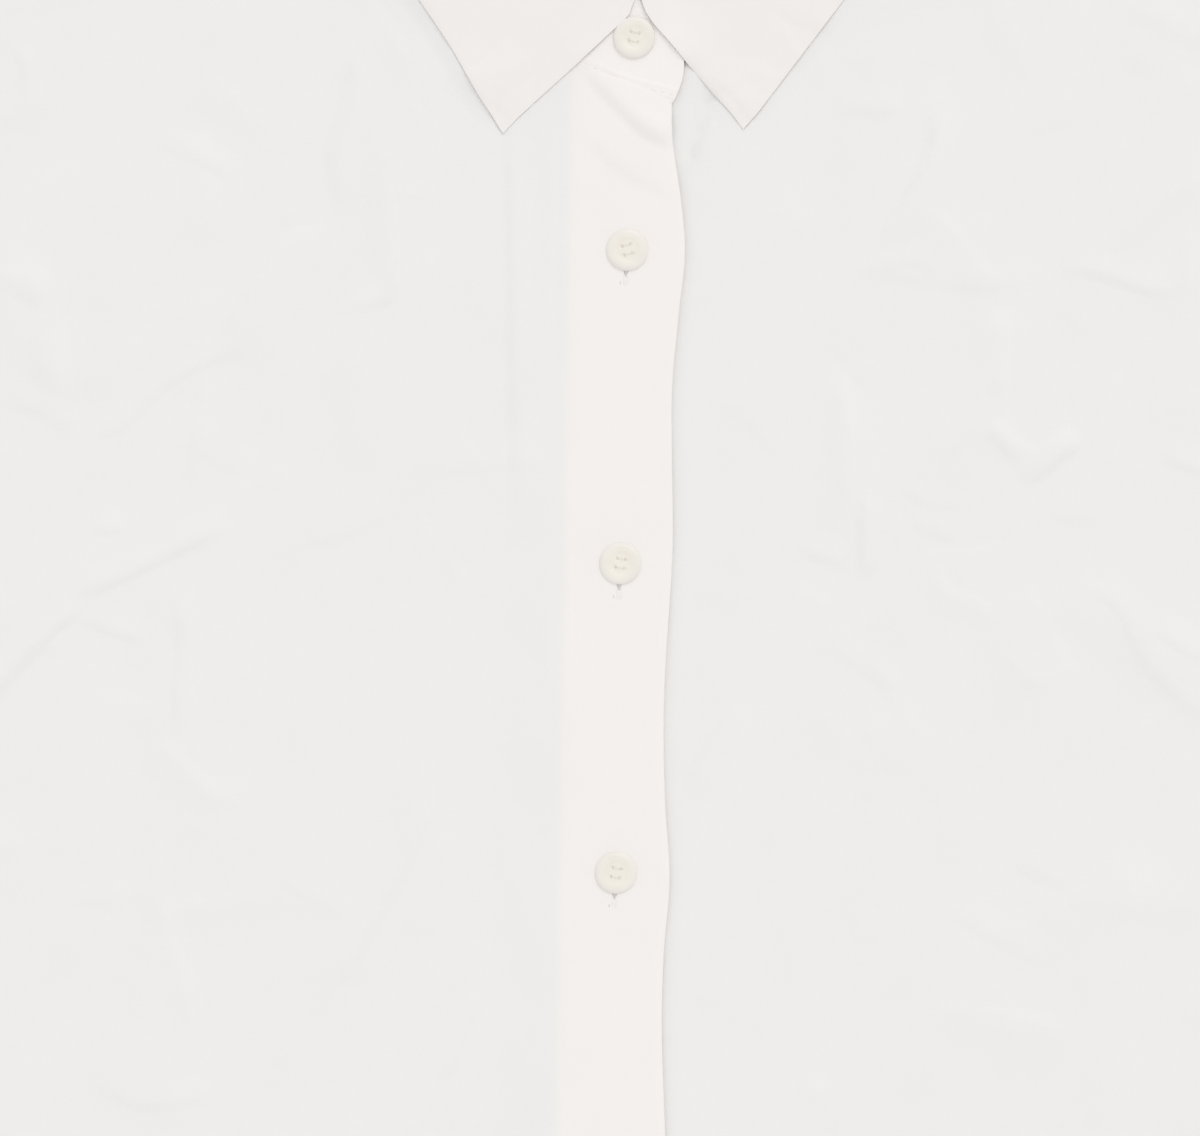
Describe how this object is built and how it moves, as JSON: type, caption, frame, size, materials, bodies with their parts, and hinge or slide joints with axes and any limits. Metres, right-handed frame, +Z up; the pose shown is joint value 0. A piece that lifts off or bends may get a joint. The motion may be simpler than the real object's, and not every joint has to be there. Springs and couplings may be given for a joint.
{
  "type": "crumpled button-front shirt, laid flat",
  "caption": "White long-sleeved button-front shirt with a turned-down collar, buttoned to the neck and laid flat on its back, lightly creased all over",
  "frame": {"origin": "middle of the bounding box's base, on the table under the shirt", "axes": "+X across to the wearer's left, +Y from hem to collar, +Z up from the table; the shirt lies on its back, its front up"},
  "size_m": [1.1526, 0.7428, 0.0116],
  "materials": {
    "shirting": "fine plain-weave white cotton, one layer",
    "doubled": "the same cotton in two layers with interfacing, a little whiter",
    "button": "cream pearl-like plastic, four holes in a dished middle"
  },
  "bodies": {
    "root": {"front_right": "shirting", "front_left": "shirting", "front_right_band": "doubled", "front_left_band": "doubled", "back": "shirting", "yoke": "shirting", "sleeve_left": "shirting", "sleeve_right": "shirting", "cuff_left": "doubled", "cuff_right": "doubled", "collar_stand": "doubled", "collar": "doubled", "button_front_1": "button", "button_front_2": "button", "button_front_3": "button", "button_front_4": "button", "button_front_5": "button", "button_front_6": "button", "button_stand": "button", "button_cuff_left": "button", "button_cuff_right": "button"}
  },
  "joints": []
}
